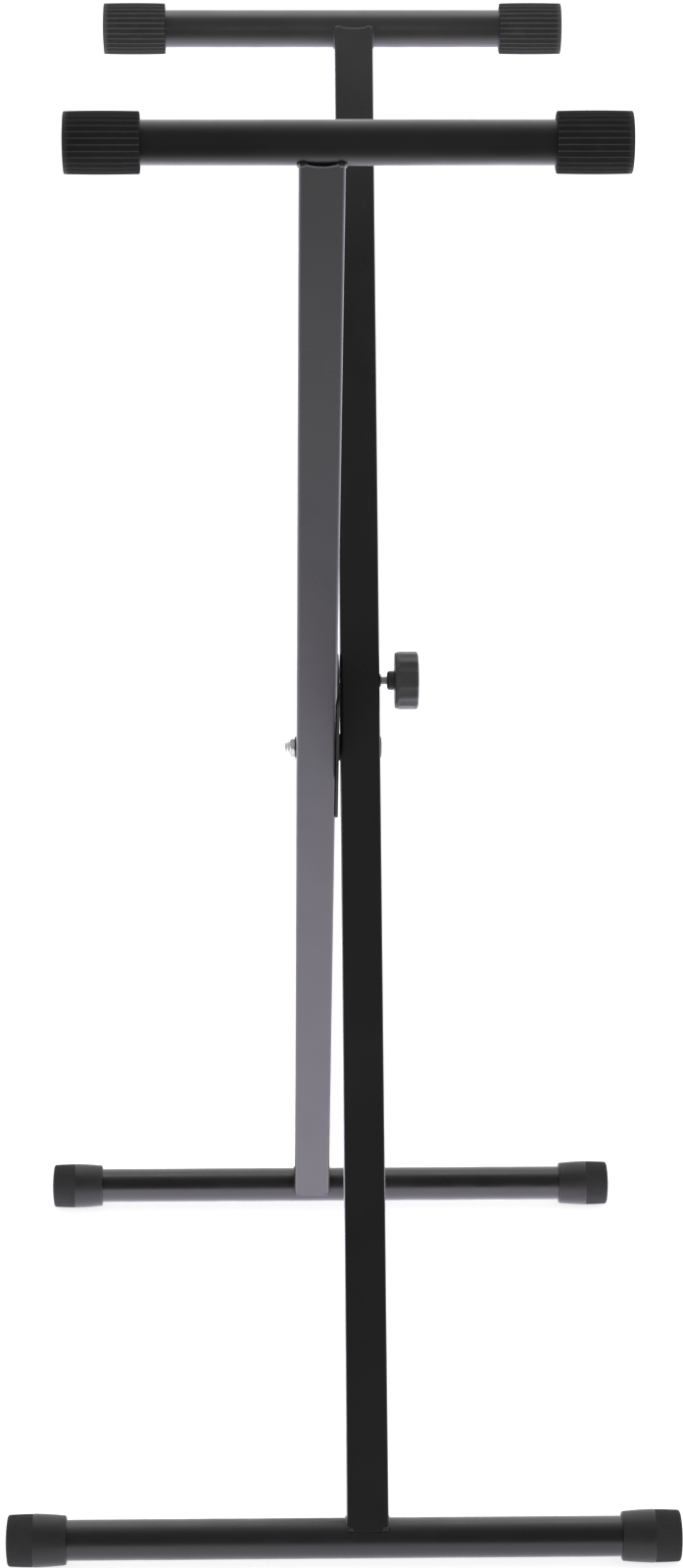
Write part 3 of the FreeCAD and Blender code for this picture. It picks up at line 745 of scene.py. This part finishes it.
# ---------------------------------------------------------------------------
# stage, light and camera
# ---------------------------------------------------------------------------
fm = bpy.data.meshes.new("floor")
S = 60.0
fm.from_pydata([(-S, -S, 0), (S, -S, 0), (S, S, 0), (-S, S, 0)], [], [(0, 1, 2, 3)])
floor = bpy.data.objects.new("floor", fm)
bpy.context.scene.collection.objects.link(floor)
m, nt, bsdf = new_material("pale_floor")
v = coords(nt)
pale = ramp(nt, noise_tex(nt, v, 1.5, 3.0, 0.5), ((0.3, (0.50, 0.50, 0.504)), (0.7, (0.525, 0.525, 0.53))))
nt.links.new(pale, bsdf.inputs["Base Color"])
nt.links.new(pale, bsdf.inputs["Emission Color"])
bsdf.inputs["Emission Strength"].default_value = 1.5
bsdf.inputs["Roughness"].default_value = 0.9
bsdf.inputs["Specular IOR Level"].default_value = 0.1
fm.materials.append(m)
floor.visible_glossy = False


def light_card(name, verts, faces, scale, stops, tint, sides=None):
    """A studio card that only shows as a reflection: bright behind the stand, dark towards the camera."""
    me = bpy.data.meshes.new(name)
    me.from_pydata(verts, [], faces)
    o = bpy.data.objects.new(name, me)
    bpy.context.scene.collection.objects.link(o)
    mat = bpy.data.materials.new(name)
    mat.use_nodes = True
    tree = mat.node_tree
    tree.nodes.clear()
    out = tree.nodes.new("ShaderNodeOutputMaterial")
    em = tree.nodes.new("ShaderNodeEmission")
    tree.links.new(em.outputs[0], out.inputs["Surface"])
    sep = tree.nodes.new("ShaderNodeSeparateXYZ")
    tree.links.new(coords(tree), sep.inputs[0])
    lo, hi = stops[0][0], stops[-1][0]
    across = sep.outputs[0]
    if sides:
        left = math_node(tree, "MULTIPLY", sep.outputs[1], -sides[0])
        across = math_node(tree, "ADD", across, math_node(tree, "MAXIMUM", left, math_node(tree, "MULTIPLY", sep.outputs[1], sides[1])))
    fac = remap(tree, across, 0.0, 1.0, lo * scale, hi * scale)
    top = max(level for _, level in stops)
    tone = ramp(tree, fac, [((x - lo) / (hi - lo), tuple(level / top * (1 + (t - 1) * min(1.0, max(0.0, (level - 0.9) / 0.8))) for t in tint)) for x, level in stops])
    tree.links.new(tone, em.inputs["Color"])
    em.inputs["Strength"].default_value = top
    mat.cycles.emission_sampling = "NONE"
    me.materials.append(mat)
    o.visible_camera = False
    o.visible_diffuse = False
    o.visible_shadow = False
    o.visible_transmission = False
    return o


R = 50.0
light_card("table_card", [(-R, -R, -0.004), (R, -R, -0.004), (R, R, -0.004), (-R, R, -0.004)], [(0, 1, 2, 3)], 1.0,
           ((-2.0, 2.1), (-0.9, 2.45), (-0.3, 2.5), (0.0, 2.35), (0.16, 1.72), (0.32, 1.35), (0.50, 1.03), (0.64, 0.80), (0.80, 0.32), (1.0, 0.17), (1.8, 0.05)),
           (1.035, 0.982, 1.15))
cage = bmesh.new()
bmesh.ops.create_icosphere(cage, subdivisions=5, radius=R)
cage.verts.index_update()
light_card("sky_card", [tuple(q.co) for q in cage.verts], [[q.index for q in fc.verts] for fc in cage.faces], R,
           ((-1.0, 1.4), (-0.7, 1.7), (-0.4, 1.45), (-0.15, 1.05), (0.0, 0.78), (0.2, 0.42), (0.4, 0.22), (0.6, 0.13), (1.0, 0.10)),
           (1.0, 1.0, 1.0), (0.55, 0.25))
cage.free()
light_card("rear_card", [(-0.85, -0.7, 1.5), (-0.20, -0.7, 1.5), (-0.20, 0.7, 1.5), (-0.85, 0.7, 1.5)], [(0, 1, 2, 3)], 1.0,
           ((-0.85, 1.6), (-0.70, 2.2), (-0.35, 2.2), (-0.20, 0.8)), (1.0, 1.0, 1.0))

lamp = bpy.data.lights.new("kicker", "AREA")
lamp.shape = "RECTANGLE"
lamp.size, lamp.size_y = 0.46, 0.08
lamp.spread = math.radians(62)
lamp.energy = 1.0
kicker = bpy.data.objects.new("kicker", lamp)
bpy.context.scene.collection.objects.link(kicker)
kicker.location = (0.20, 0.0, 1.06)
kicker.rotation_euler = Vector((-1.0, 0.0, -0.06)).to_track_quat("-Z", "Y").to_euler()
kicker.visible_glossy = False
kicker.visible_camera = False

world = bpy.data.worlds.new("studio")
bpy.context.scene.world = world
world.use_nodes = True
wt = world.node_tree
wt.nodes.clear()
wo = wt.nodes.new("ShaderNodeOutputWorld")
bg = wt.nodes.new("ShaderNodeBackground")
wt.links.new(bg.outputs[0], wo.inputs[0])
bg.inputs["Color"].default_value = (1.0, 1.0, 1.0, 1.0)
bg.inputs["Strength"].default_value = 1.0

F_PX, H_PX = 3744.34, 1600.0
pitch, yaw, roll = math.radians(18.2777), math.radians(1.1303), math.radians(0.1281)
cam_data = bpy.data.cameras.new("camera")
cam = bpy.data.objects.new("camera", cam_data)
bpy.context.scene.collection.objects.link(cam)
cam_data.sensor_fit = "AUTO"
cam_data.sensor_width = 36.0
cam_data.lens = F_PX / H_PX * 36.0
cam_data.clip_start, cam_data.clip_end = 0.05, 200.0
fwd = Vector((-math.cos(pitch) * math.cos(yaw), math.cos(pitch) * math.sin(yaw), -math.sin(pitch)))
right = fwd.cross(Vector((0, 0, 1))).normalized()
up = right.cross(fwd)
r2 = right * math.cos(roll) + up * math.sin(roll)
u2 = up * math.cos(roll) - right * math.sin(roll)
cam.matrix_world = Matrix.Translation((2.53937, -0.04755, 1.30961)) @ Matrix((r2, u2, -fwd)).transposed().to_4x4()
bpy.context.scene.camera = cam
bpy.context.scene.view_settings.view_transform = "Standard"
bpy.context.scene.view_settings.look = "None"
